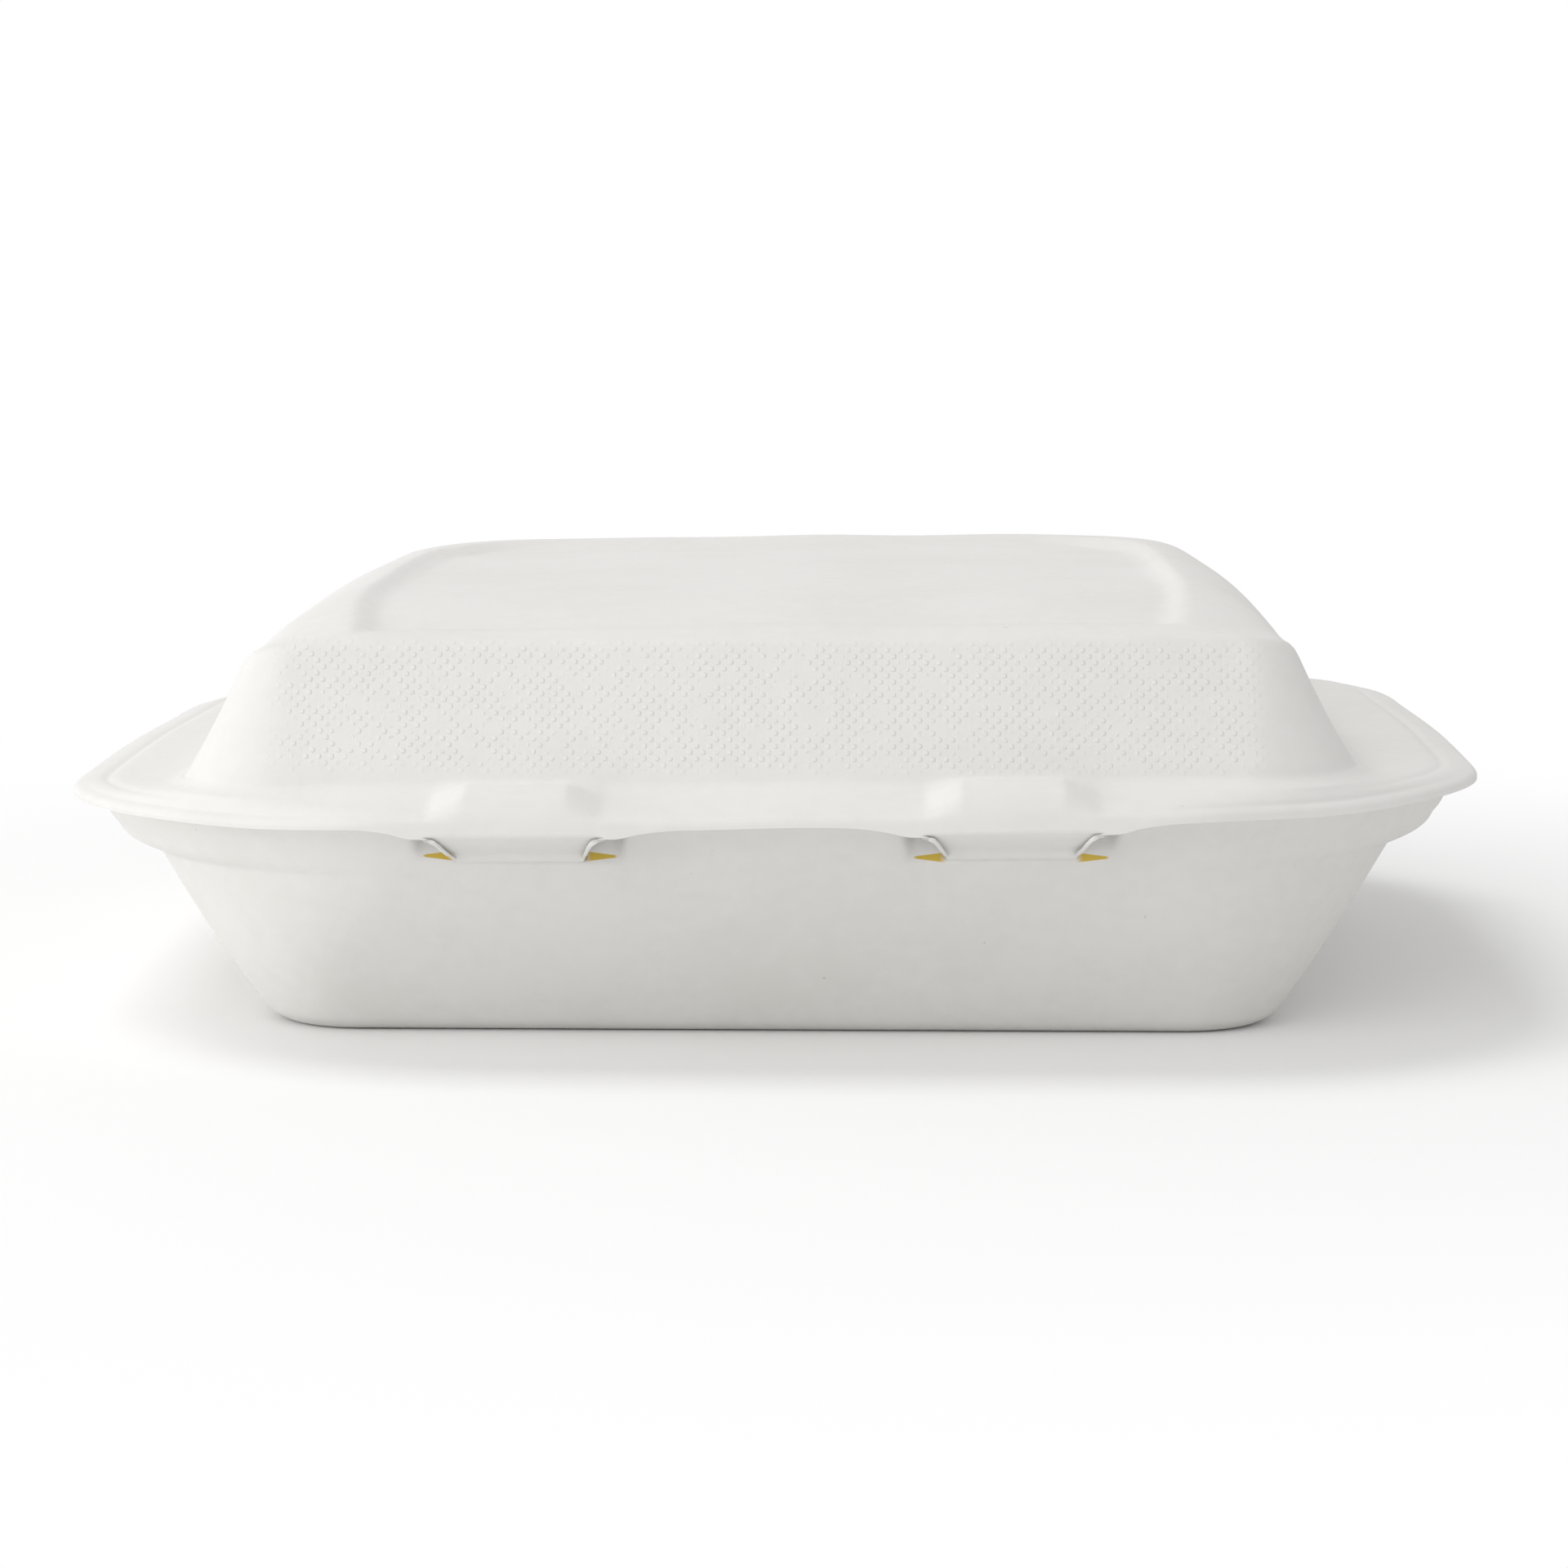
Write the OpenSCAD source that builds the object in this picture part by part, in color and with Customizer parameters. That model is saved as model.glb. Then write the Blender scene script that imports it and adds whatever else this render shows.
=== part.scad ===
// Hinged food container moulded in one piece from sugar cane fibre: a tapered tray and a
// domed lid with a rolled rim, held shut by two tongues that sit in two slots.
// Millimetres. The origin is at the middle of the floor, the latches face -Y, the hinge is at +Y.

/* [Rim] */
// Width of the lid's rim across its corners' straight ends
rim_w = 226; // [210:1:240]
// Length of the straight middle of each side of the rim
rim_flat = 114; // [108:1:124]
// How much rounder the back corners are than the front ones
back_corner_share = 1.2; // [1:0.05:1.3]
// How far the front and the two sides of the rim bow outwards
rim_bow = 4.5; // [2:0.25:6]
// Height of the lid's inner flange above the table
rim_z = 41.2; // [40:0.2:46]
// Fall from the inner flange to the lower edge of the lid's skirt
skirt_drop = 3.2; // [3:0.1:4]

/* [Tray] */
// Width of the floor, measured where floor and wall would meet
floor_w = 163.6; // [150:1:172]
// Radius of the edge between floor and wall
floor_edge_r = 6; // [5:0.5:12]
// Corner radius of the floor
floor_corner_r = 15; // [12:1:24]
// Height of the ledge in the side walls
ledge_z = 28.4; // [24:0.2:30]
// Width of the tray just under the ledge
ledge_w = 200; // [190:1:204]
// How far the ledge steps outwards
ledge_step = 6.2; // [3:0.1:7]
// Width of the tray's mouth, just under its flange
mouth_w = 218.4; // [215:0.2:218.8]
// Width of the tray's own flange, outside its mouth
tray_flange = 1.4; // [1.2:0.1:1.6]

/* [Lid] */
// Width of the dome at its foot
dome_w = 191.5; // [180:0.5:195]
// Width of the dome at the shoulder, where its wall starts to round over
shoulder_w = 171.2; // [164:0.2:174]
// Height of the shoulder above the rim
shoulder_h = 18.5; // [14:0.5:20]
// Radius of the round between wall and top
shoulder_r = 22; // [18:1:24]
// Corner radius of the dome's wall
dome_corner_r = 41; // [34:1:44]
// Rise of the top towards its middle
crown = 1; // [0.5:0.1:2]
// Depth of the crease round the flange, over the tray's mouth
crease = 0.4; // [0.2:0.1:0.5]

/* [Latch] */
// Distance of each latch from the middle of the front
tab_x = 38; // [34:1:38]
// Width of each slot in the tray
slot_w = 29.2; // [28:0.2:30]
// Height of each slot
slot_h = 1.7; // [1.2:0.1:2]
// Height of the middle of each slot above the table
slot_z = 32.2; // [31.6:0.1:33]
// Width of each tongue at the rim
tongue_w = 24; // [22:0.5:25]
// How much narrower the tongue is at its tip
tongue_taper = 3.6; // [2:0.2:4]
// How far the rim dips over each tongue
rim_dip = 1.4; // [0.5:0.1:1.6]
// Width of the face of the raised boss over each tongue
boss_face_w = 16; // [12:1:17]
// Width of the boss at its foot
boss_w = 26.6; // [25.6:0.2:28]
// Height of the boss above the flange
boss_h = 2.4; // [1:0.1:2.6]

/* [Sheet] */
// Thickness of the moulded wall
sheet = 0.9; // [0.7:0.05:1.1]
// Clearance between lid and tray where they meet
gap = 0.3; // [0.3:0.05:0.4]

/* [Hidden] */
fibre = "#efece6";

// Number of segments in a corner of a ring, and in a plain side
corner_steps = 8;
side_steps = 5;

rim_half = rim_w / 2;
flat_half = rim_flat / 2;
floor_half = floor_w / 2;
ledge_half = ledge_w / 2;
mouth_half = mouth_w / 2;
dome_half = dome_w / 2;
shoulder_half = shoulder_w / 2;

// The lid turns about the back edge of the rim, in the plane between the two flanges
rim_fall = 1.3;
hinge_z = rim_z - rim_fall - sheet;
hinge_y = rim_half + rim_bow + gap / 2;
tray_rim_z = hinge_z - gap / 2;
mouth_z = tray_rim_z - 2;
wall_lean = (ledge_half - floor_half) / ledge_z;

// A ring is a rounded square, level or nearly so. It is given as [half width, half depth at the
// front, height at the sides, height at the front, corner radius, bow, latch share, back reach,
// tongue share]. The latch share is 1 where the boss stands up in full and -1 where the rim dips
// in full, and the tongue share is 1 at the tip of the tongues.
function half(g) = g[0];
function front(g) = g[1];
function side_z(g) = g[2];
function front_z(g) = g[3];
function corner(g) = g[4];
function bow(g) = g[5];
function latch_share(g) = g[6];
function back_reach(g) = g[7];
function tongue_share(g) = g[8];

function mix(p, q, t) = p + (q - p) * t;
function clamp01(t) = min(1, max(0, t));
function smooth(t) = clamp01(t) * clamp01(t) * (3 - 2 * clamp01(t));
// 1 inside the half width "inner" about either latch, falling to 0 at "outer"
function near_latch(x, inner, outer) = clamp01((outer - abs(abs(x) - tab_x)) / (outer - inner));

// Places of the columns of points along the right half of the front, denser at the latch
slot_half = slot_w / 2;
recess_half = slot_half + 0.6;
recess_edge = recess_half + 1.2;
dip_half = recess_edge + 5.6;
tongue_half = tongue_w / 2;
tip_half = tongue_half - tongue_taper / 2;
latch_columns = [
    boss_face_w / 2,
    tip_half,
    tongue_half,
    boss_w / 2,
    slot_half,
    recess_half,
    recess_edge
];
half_columns = concat(
    [tab_x - dip_half],
    [for (i = [len(latch_columns) - 1:-1:0]) tab_x - latch_columns[i]],
    [tab_x],
    [for (c = latch_columns) tab_x + c]);
front_columns = concat(
    [for (i = [len(half_columns) - 1:-1:0]) -half_columns[i] / flat_half],
    [0],
    [for (x = half_columns) x / flat_half]);

// Quarter turn about a corner's centre, without its last point
function quarter(cx, cy, r, start) = [
    for (i = [0:corner_steps - 1])
        let (t = start + 90 * i / corner_steps)
        [cx + r * cos(t), cy + r * sin(t)]
];

// Outline of a ring before its sides bow, anticlockwise from the left end of the front
function square_ring(g) =
    let (
        a = half(g),
        b = front(g),
        r = corner(g),
        rb = r * back_corner_share,
        fx = a - r,
        fy = b - r,
        bx = a - rb)
    concat(
        [for (c = front_columns) [c * fx, -b]],
        quarter(fx, -fy, r, 270),
        [for (i = [0:side_steps - 1]) [a, mix(-fy, bx, i / side_steps)]],
        quarter(bx, bx, rb, 0),
        [for (i = [0:side_steps - 1]) [mix(bx, -bx, i / side_steps), a]],
        quarter(-bx, bx, rb, 90),
        [for (i = [0:side_steps - 1]) [-a, mix(bx, -fy, i / side_steps)]],
        quarter(-fx, -fy, r, 180));

// The sides and the front bow outwards. The back stays straight, because it carries the hinge.
function bowed(p, g) =
    let (u = p[0] / half(g), v = p[1] < 0 ? p[1] / front(g) : p[1] / half(g), s = bow(g))
    [p[0] + s * u * (1 - v * v), p[1] + v * (v < 0 ? s * (1 - u * u) : s + back_reach(g))];

// How far a point belongs to the front: 0 on the sides and the back, 1 along the front
function frontness(p, g) = smooth((-p[1] / front(g) - 0.45) / 0.5);

function ring_points(g) = [
    for (p = square_ring(g))
        let (q = bowed(p, g))
        [q[0], q[1], mix(side_z(g), front_z(g), frontness(p, g))]
];

// Unit normal of a profile at place i, pointing away from the food
function direction(v) = v / norm(v);
function normal(points, i, turn) =
    let (p = points[max(0, i - 1)], q = points[min(len(points) - 1, i + 1)], d = direction(q - p))
    turn * [d[1], -d[0]];

// The rings of the wall's other face, one sheet away from the given ones
function offset_rings(rings, turn) =
    let (
        sides = [for (g = rings) [half(g), side_z(g)]],
        fronts = [for (g = rings) [front(g), front_z(g)]])
    [for (i = [0:len(rings) - 1])
        let (g = rings[i], s = normal(sides, i, turn), f = normal(fronts, i, turn))
        [
            half(g) - sheet * s[0],
            front(g) - sheet * f[0],
            side_z(g) - sheet * s[1],
            front_z(g) - sheet * f[1],
            corner(g) - sheet * s[0],
            bow(g),
            latch_share(g),
            back_reach(g),
            tongue_share(g)
        ]];

// Two triangles over four corners, seen from outside as p, q at the bottom and r, s above them
function quad(p, q, r, s) = [[p, s, q], [p, r, s]];

// Closed skin through a stack of loops of points, with a pole at each end. A window [row, first,
// past] is a hole through the sheet, between that row's loop and the next, over those columns.
module skin(loops, first_pole, last_pole, windows = []) {
    n = len(loops[0]);
    last = len(loops) - 1;
    points = concat([first_pole], [for (l = loops) each l], [last_pole]);
    end = len(points) - 1;
    function at(i, j) = 1 + i * n + j % n;
    // The other face's loops run the other way, so the loop behind loop i is loop last - i
    function open(i, j) = len([
        for (w = windows)
            if (j >= w[1] && j < w[2] && (i == w[0] || i == last - 1 - w[0])) w
    ]) > 0;
    faces = concat(
        [for (j = [0:n - 1]) [0, at(0, j), at(0, j + 1)]],
        [for (i = [0:last - 1], j = [0:n - 1])
            if (!open(i, j)) each quad(at(i, j), at(i, j + 1), at(i + 1, j), at(i + 1, j + 1))],
        [for (w = windows, j = [w[1]:w[2] - 1])
            each concat(
                quad(at(w[0], j), at(w[0], j + 1), at(last - w[0], j), at(last - w[0], j + 1)),
                quad(at(last - w[0] - 1, j), at(last - w[0] - 1, j + 1), at(w[0] + 1, j), at(w[0] + 1, j + 1)))],
        [for (w = windows)
            each concat(
                quad(at(w[0] + 1, w[1]), at(w[0], w[1]), at(last - w[0] - 1, w[1]), at(last - w[0], w[1])),
                quad(at(w[0], w[2]), at(w[0] + 1, w[2]), at(last - w[0], w[2]), at(last - w[0] - 1, w[2])))],
        [for (j = [0:n - 1]) [end, at(last, j + 1), at(last, j)]]);
    polyhedron(points, faces);
}

// Corner radius that keeps the straight middle of the side as long as the rim's
function rim_corner(a) = a - flat_half;

// Corner radius on the floor, which shrinks inwards but never to nothing
least_corner = 0.1;
function floor_corner(a) = max(floor_corner_r - (floor_half - min(a, floor_half)), a * least_corner);

// Outer face of the tray, from the floor out to the edge of its flange
function wall_half(z) = floor_half + wall_lean * z;
function tray_ring(a, b, z, reach = 0) = [
    a,
    b,
    z,
    z,
    mix(floor_corner(a), rim_corner(a), clamp01(z / ledge_z)),
    rim_bow * z / tray_rim_z,
    0,
    reach,
    0
];
edge_turn = 90 - atan(wall_lean);
edge_start = floor_half - floor_edge_r * tan(edge_turn / 2);
ledge_rise = 2;
// The tray's flange reaches as far back as the lid's, to meet it at the hinge
tray_reach = rim_half - mouth_half - tray_flange;
slot_bottom = slot_z - slot_h / 2;
slot_top = slot_z + slot_h / 2;
ledge_top = ledge_half + ledge_step;
lower_rings = concat(
    [tray_ring(edge_start * 0.55, edge_start * 0.55, 0)],
    [for (i = [0:4])
        let (t = edge_turn * i / 4, a = edge_start + floor_edge_r * sin(t))
        tray_ring(a, a, floor_edge_r * (1 - cos(t)))],
    [for (z = [ledge_z * 0.4, ledge_z * 0.7, ledge_z * 0.93])
        tray_ring(wall_half(z), wall_half(z), z)],
    [
        tray_ring(ledge_half + 0.3, wall_half(ledge_z + 0.3), ledge_z + 0.3),
        tray_ring(ledge_half + ledge_step * 0.7, wall_half(ledge_z + ledge_rise * 0.75),
            ledge_z + ledge_rise * 0.75),
        tray_ring(ledge_top, wall_half(ledge_z + ledge_rise + 0.5), ledge_z + ledge_rise + 0.5)
    ]);
upper_rings = [
    tray_ring(mix(ledge_top, mouth_half, 0.1), wall_half(slot_bottom), slot_bottom),
    tray_ring(mix(ledge_top, mouth_half, 0.32), wall_half(slot_top), slot_top),
    tray_ring(mouth_half, wall_half(mouth_z), mouth_z),
    tray_ring(mouth_half + tray_flange * 0.4, wall_half(mouth_z) + tray_flange * 0.6, mouth_z + 0.75,
        tray_reach * 0.3),
    tray_ring(mouth_half + tray_flange, mouth_half + tray_flange, tray_rim_z - sheet, tray_reach)
];
tray_rings = concat(lower_rings, upper_rings);

// Each slot is a window between the first two upper rings
function column_at(x) = [
    for (i = [0:len(front_columns) - 1])
        if (abs(front_columns[i] * flat_half - x) < 0.001) i
][0];
slots = [
    for (side = [-1, 1])
        [len(lower_rings), column_at(side * tab_x - slot_half), column_at(side * tab_x + slot_half)]
];

// Behind each tongue the tray's wall stands upright from the slot to the rim, so the tongue
// can lift straight out. There the flange keeps only a sliver of its width.
recess_y = wall_half(slot_z) + rim_bow * slot_z / tray_rim_z * 0.7;
recess_squeeze = 0.12;
function recessed(p, limit) =
    let (w = near_latch(p[0], recess_half, recess_edge), over = -p[1] - limit)
    over > 0 ? [p[0], p[1] + w * over * (1 - recess_squeeze), p[2]] : p;

module tray() {
    inner_rings = offset_rings(tray_rings, 1);
    outer = [for (g = tray_rings) [for (p = ring_points(g)) recessed(p, recess_y)]];
    inner = [for (i = [len(inner_rings) - 1:-1:0])
        [for (p = ring_points(inner_rings[i])) recessed(p, recess_y - sheet)]];
    color(fibre)
        skin(concat(outer, inner), [0, 0, 0], [0, 0, sheet], slots);
}

// Outer face of the lid, from the middle of its top down to the lower edge of its skirt
shoulder_z = rim_z + shoulder_h;
dome_lean = atan((dome_half - shoulder_half) / shoulder_h);
round_half = shoulder_half - shoulder_r * cos(dome_lean);
round_z = shoulder_z - shoulder_r * sin(dome_lean);
top_z = round_z + shoulder_r;
// The front wall leans further back than the sides, and its foot runs out to the rim
front_foot = rim_half - 9;
front_shoulder = shoulder_half + 1.5;
front_lift = 1.3;
function lid_ring(a, b, z, zf, r, s, share = 0, tongue = 0) = [a, b, z, zf, r, s, share, 0, tongue];
function round_ring(t) =
    let (a = round_half + shoulder_r * sin(t), z = round_z + shoulder_r * cos(t))
    lid_ring(a, mix(round_half, front_shoulder, (a - round_half) / (shoulder_half - round_half)), z, z,
        dome_corner_r - (shoulder_half - a) * 0.8, rim_bow * 0.55);
function flange_ring(a, b, fall, front_fall, share, tongue = 0) =
    lid_ring(a, b, rim_z - fall, rim_z - front_fall, rim_corner(a), rim_bow, share, tongue);
lid_rings = concat(
    [
        lid_ring(round_half * 0.5, round_half * 0.5, top_z + crown * 0.75, top_z + crown * 0.75,
            dome_corner_r * 0.4, 0),
        lid_ring(round_half * 0.82, round_half * 0.82, top_z + crown * 0.33, top_z + crown * 0.33,
            dome_corner_r * 0.5, rim_bow * 0.3)
    ],
    [for (i = [0:5]) round_ring((90 - dome_lean) * i / 5)],
    [
        lid_ring(mix(shoulder_half, dome_half, 0.5), mix(front_shoulder, front_foot, 0.5),
            mix(shoulder_z, rim_z, 0.5), mix(shoulder_z, rim_z + front_lift, 0.5),
            dome_corner_r, rim_bow * 0.6),
        lid_ring(dome_half - 0.8, front_foot - 0.8, rim_z + 1.5, rim_z + front_lift + 1,
            dome_corner_r, rim_bow * 0.7, 0.1),
        lid_ring(dome_half + 2.2, front_foot + 1.6, rim_z, rim_z + front_lift - 0.3,
            dome_corner_r + 2, rim_bow * 0.8, 0.6),
        flange_ring(mouth_half - 3.2, front_foot + 3.2, 0.1, -0.5, 1),
        flange_ring(mouth_half - 2, front_foot + 4.4, 0.4 + crease, -0.1, 1),
        flange_ring(mouth_half - 0.9, front_foot + 5.6, 0.6, 0.3, 1),
        flange_ring(rim_half - 1.6, rim_half - 1.6, rim_fall, rim_fall, 0.8),
        flange_ring(rim_half - 0.3, rim_half - 0.3, rim_fall + 0.7, rim_fall + 0.7, 0.1),
        flange_ring(rim_half, rim_half, rim_fall + 1.3, rim_fall + 1.3, -0.7),
        for (tongue = [0, 0.5, 1])
            let (fall = skirt_drop - 0.4 * (1 - tongue))
            flange_ring(rim_half, rim_half, fall, fall, -1, tongue)
    ]);

// Towards the back the skirt dies away, and along the hinge nothing hangs below the flange
skirt_end = 35;
skirt_fade = 40;
skirt_rest = 0.25;
function tucked(p, floor_z) =
    let (w = smooth((p[1] - skirt_end) / skirt_fade), below = min(0, p[2] - floor_z))
    [p[0], p[1], p[2] - w * (1 - skirt_rest) * below];

// A boss stands up from the front flange over each tongue, and the rim dips under it
function raised(p, share) =
    let (
        boss = near_latch(p[0], boss_face_w / 2, boss_w / 2) * boss_h,
        dip = smooth(near_latch(p[0], recess_half, dip_half)) * rim_dip)
    [p[0], p[1], p[2] + share * (share > 0 ? boss : dip)];

// The tongues slope inwards from the rim's edge to the mouths of the slots
tongue_clear = recess_squeeze * (mouth_half + tray_flange + rim_bow - recess_y) + gap * 1.5;
tongue_reach = rim_half + rim_bow * 0.85 - (recess_y + tongue_clear + sheet);
tongue_drop = rim_z - skirt_drop - rim_dip - (slot_z + 0.2);
tongue_lift = 0.6;
function tongued(p, share, lift) =
    let (w = share * near_latch(p[0], tip_half, tongue_half))
    [p[0], p[1] + w * tongue_reach, p[2] - w * (tongue_drop - lift)];

function lid_loop(g, floor_z, lift) = [
    for (p = ring_points(g))
        p[1] < 0 ? tongued(raised(p, latch_share(g)), tongue_share(g), lift) : tucked(p, floor_z)
];

module lid() {
    inner_rings = offset_rings(lid_rings, -1);
    inner = [for (g = inner_rings) lid_loop(g, hinge_z + gap / 2, tongue_lift)];
    outer = [for (i = [len(lid_rings) - 1:-1:0])
        lid_loop(lid_rings[i], hinge_z + gap / 2 + sheet, 0)];
    color(fibre)
        skin(concat(inner, outer), [0, 0, top_z + crown - sheet], [0, 0, top_z + crown]);
}

tray();
lid();
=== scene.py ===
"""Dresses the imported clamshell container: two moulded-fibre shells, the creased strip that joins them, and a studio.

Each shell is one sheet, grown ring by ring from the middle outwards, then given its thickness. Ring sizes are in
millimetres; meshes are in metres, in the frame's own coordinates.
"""

import logging
import math
from dataclasses import dataclass
from enum import Enum
from typing import Callable, Sequence

import bmesh
import bpy
import numpy as np
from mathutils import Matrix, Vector

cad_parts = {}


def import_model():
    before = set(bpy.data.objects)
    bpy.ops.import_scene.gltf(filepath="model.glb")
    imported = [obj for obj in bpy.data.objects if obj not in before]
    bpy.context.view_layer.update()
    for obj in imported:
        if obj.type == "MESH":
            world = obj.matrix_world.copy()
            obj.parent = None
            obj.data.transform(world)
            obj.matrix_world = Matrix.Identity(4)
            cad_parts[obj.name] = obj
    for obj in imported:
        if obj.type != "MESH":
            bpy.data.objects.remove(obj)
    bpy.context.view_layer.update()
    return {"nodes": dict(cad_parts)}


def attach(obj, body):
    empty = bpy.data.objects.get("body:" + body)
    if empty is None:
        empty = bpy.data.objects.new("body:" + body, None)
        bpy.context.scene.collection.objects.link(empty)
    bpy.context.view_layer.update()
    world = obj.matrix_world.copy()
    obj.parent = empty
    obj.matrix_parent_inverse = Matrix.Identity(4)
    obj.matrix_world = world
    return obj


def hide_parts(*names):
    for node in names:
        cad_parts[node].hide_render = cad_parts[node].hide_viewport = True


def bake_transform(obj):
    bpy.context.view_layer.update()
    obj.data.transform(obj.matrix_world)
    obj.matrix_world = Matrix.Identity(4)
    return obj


log = logging.getLogger("clamshell")

MM = 0.001


# ---------------------------------------------------------------- shape

def mix(p: float, q: float, t: float) -> float:
    """Returns the value a share t of the way from p to q."""
    return p + (q - p) * t


def smooth(t: np.ndarray) -> np.ndarray:
    """Returns t eased from 0 to 1, flat at both ends."""
    t = np.clip(t, 0, 1)
    return t * t * (3 - 2 * t)


class Side(Enum):
    """Which way the outer face of a shell looks at its middle."""

    UP = 1
    DOWN = -1


@dataclass(frozen=True)
class Ring:
    """A rounded-square line round a shell, in millimetres.

    Attributes:
        half: Half its width.
        front: Its reach towards the latches.
        side_z: Its height along the sides and the back.
        front_z: Its height along the front.
        corner: Corner radius at the front.
        bow: How far its front and sides bow outwards.
        latch: 1 where the bosses stand up in full, -1 where the rim dips in full.
        reach: How much further it goes back, towards the hinge.
        tongue: Place along the tongues' path, 0 at the skirt's edge, 1 at the tips.
        turn: Shares of the way forward between which it goes from the sides' height to the front's.
    """

    half: float
    front: float
    side_z: float
    front_z: float
    corner: float
    bow: float
    latch: float = 0.0
    reach: float = 0.0
    tongue: float = 0.0
    turn: tuple[float, float] = (0.45, 0.95)


@dataclass(frozen=True)
class Sizes:
    """The container's main sizes in millimetres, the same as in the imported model."""

    rim_half: float = 113.0
    flat_half: float = 57.0
    back_corner_share: float = 1.2
    rim_bow: float = 4.5
    rim_z: float = 41.2
    skirt_drop: float = 3.2
    rim_fall: float = 1.3
    sheet: float = 0.9
    gap: float = 0.3
    tab_x: float = 38.0
    slot_half: float = 14.6
    slot_z: float = 32.2

    @property
    def hinge_z(self) -> float:
        """Height of the lid's axis, in the plane between the two flanges."""
        return self.rim_z - self.rim_fall - self.sheet

    @property
    def hinge_y(self) -> float:
        """Distance of the lid's axis from the middle."""
        return self.rim_half + self.rim_bow + self.gap / 2

    @property
    def tray_rim_z(self) -> float:
        """Height of the top of the tray's flange."""
        return self.hinge_z - self.gap / 2

    def rim_corner(self, half: float) -> float:
        """Returns the corner radius that keeps a side's straight middle as long as the rim's."""
        return half - self.flat_half

    def near_latch(self, x: np.ndarray, inner: float, outer: np.ndarray | float) -> np.ndarray:
        """Returns 1 within the half width inner about either latch, falling to 0 at outer."""
        return np.clip((outer - np.abs(np.abs(x) - self.tab_x)) / (outer - inner), 0, 1)


@dataclass(frozen=True)
class Columns:
    """How many points a ring has along each stretch, dense where the latches are."""

    centre: int = 8
    latch: int = 46
    corner: int = 20
    side: int = 14
    latch_reach: float = 18.6

    def front_shares(self, sizes: Sizes) -> np.ndarray:
        """Returns the places of the points along the front, from -1 to just under 1."""
        near = np.linspace(sizes.tab_x - self.latch_reach, sizes.tab_x + self.latch_reach, self.latch)
        inner = np.linspace(0, near[0], self.centre // 2, endpoint=False)
        right = np.concatenate([inner[1:], near])
        shares = np.concatenate([-right[::-1], [0.0], right]) / sizes.flat_half
        return np.concatenate([[-1.0], shares])


class RingPlan:
    """Turns rings into rows of points that all have the same columns."""

    def __init__(self, sizes: Sizes, columns: Columns) -> None:
        """Keeps the sizes and works out the places along the front once."""
        self.sizes = sizes
        self.columns = columns
        self.front_shares = columns.front_shares(sizes)

    def quarter(self, cx: float, cy: float, radius: float, start: float) -> np.ndarray:
        """Returns a quarter turn about a corner's centre, without its last point."""
        turn = np.radians(start + 90 * np.arange(self.columns.corner) / self.columns.corner)
        return np.column_stack([cx + radius * np.cos(turn), cy + radius * np.sin(turn)])

    def straight(self, start: tuple[float, float], end: tuple[float, float]) -> np.ndarray:
        """Returns points from start to end, without the last."""
        t = (np.arange(self.columns.side) / self.columns.side)[:, None]
        return np.array(start) * (1 - t) + np.array(end) * t

    def front_places(self, end: float) -> np.ndarray:
        """Returns the places along a front whose straight part ends at end.

        Where the front is longer than the rim's, the columns at the latches stay where they are and
        the outermost ones spread out.
        """
        flat = self.sizes.flat_half
        if end < flat:
            return self.front_shares * end
        outer = np.clip((np.abs(self.front_shares) - 0.93) / 0.07, 0, 1)
        return self.front_shares * flat + np.sign(self.front_shares) * outer * (end - flat)

    @staticmethod
    def front_share(y: np.ndarray, ring: Ring) -> np.ndarray:
        """Returns how far points belong to the front: 0 on the sides and the back, 1 along the front."""
        start, end = ring.turn
        return smooth((-y / ring.front - start) / (end - start))

    def points(self, ring: Ring) -> np.ndarray:
        """Returns the ring's points in millimetres, anticlockwise from the left end of the front.

        Args:
            ring: The ring to lay out.

        Returns:
            An array of shape (columns, 3).
        """
        a, b, r = ring.half, ring.front, ring.corner
        back_r = r * self.sizes.back_corner_share
        fx, fy, bx = a - r, b - r, a - back_r
        flat = np.concatenate([
            np.column_stack([self.front_places(fx), np.full(len(self.front_shares), -b)]),
            self.quarter(fx, -fy, r, 270),
            self.straight((a, -fy), (a, bx)),
            self.quarter(bx, bx, back_r, 0),
            self.straight((bx, a), (-bx, a)),
            self.quarter(-bx, bx, back_r, 90),
            self.straight((-a, bx), (-a, -fy)),
            self.quarter(-fx, -fy, r, 180),
        ])
        x, y = flat[:, 0], flat[:, 1]
        u = x / a
        v = np.where(y < 0, y / b, y / a)
        in_front = y < 0
        reach = np.where(in_front, ring.bow * (1 - u * u), ring.bow + ring.reach)
        front_share = self.front_share(y, ring)
        return np.column_stack([
            x + ring.bow * u * (1 - v * v),
            y + v * reach,
            ring.side_z + (ring.front_z - ring.side_z) * front_share,
        ])


# ---------------------------------------------------------------- modelling by hand

def only(obj: bpy.types.Object | None) -> None:
    """Deselects everything, then selects obj and makes it the active one."""
    bpy.ops.object.select_all(action="DESELECT")
    if obj is not None:
        obj.select_set(True)
        bpy.context.view_layer.objects.active = obj


def place_selected(obj: bpy.types.Object, points: np.ndarray) -> None:
    """Moves the selected vertices of a mesh in edit mode to their columns' places.

    Args:
        obj: The object in edit mode, with an integer attribute "column" on its points.
        points: Places in millimetres, one for each column.
    """
    edit = bmesh.from_edit_mesh(obj.data)
    column = edit.verts.layers.int["column"]
    for vertex in edit.verts:
        if vertex.select:
            vertex.co = Vector(points[vertex[column]]) * MM
    bmesh.update_edit_mesh(obj.data)


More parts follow.
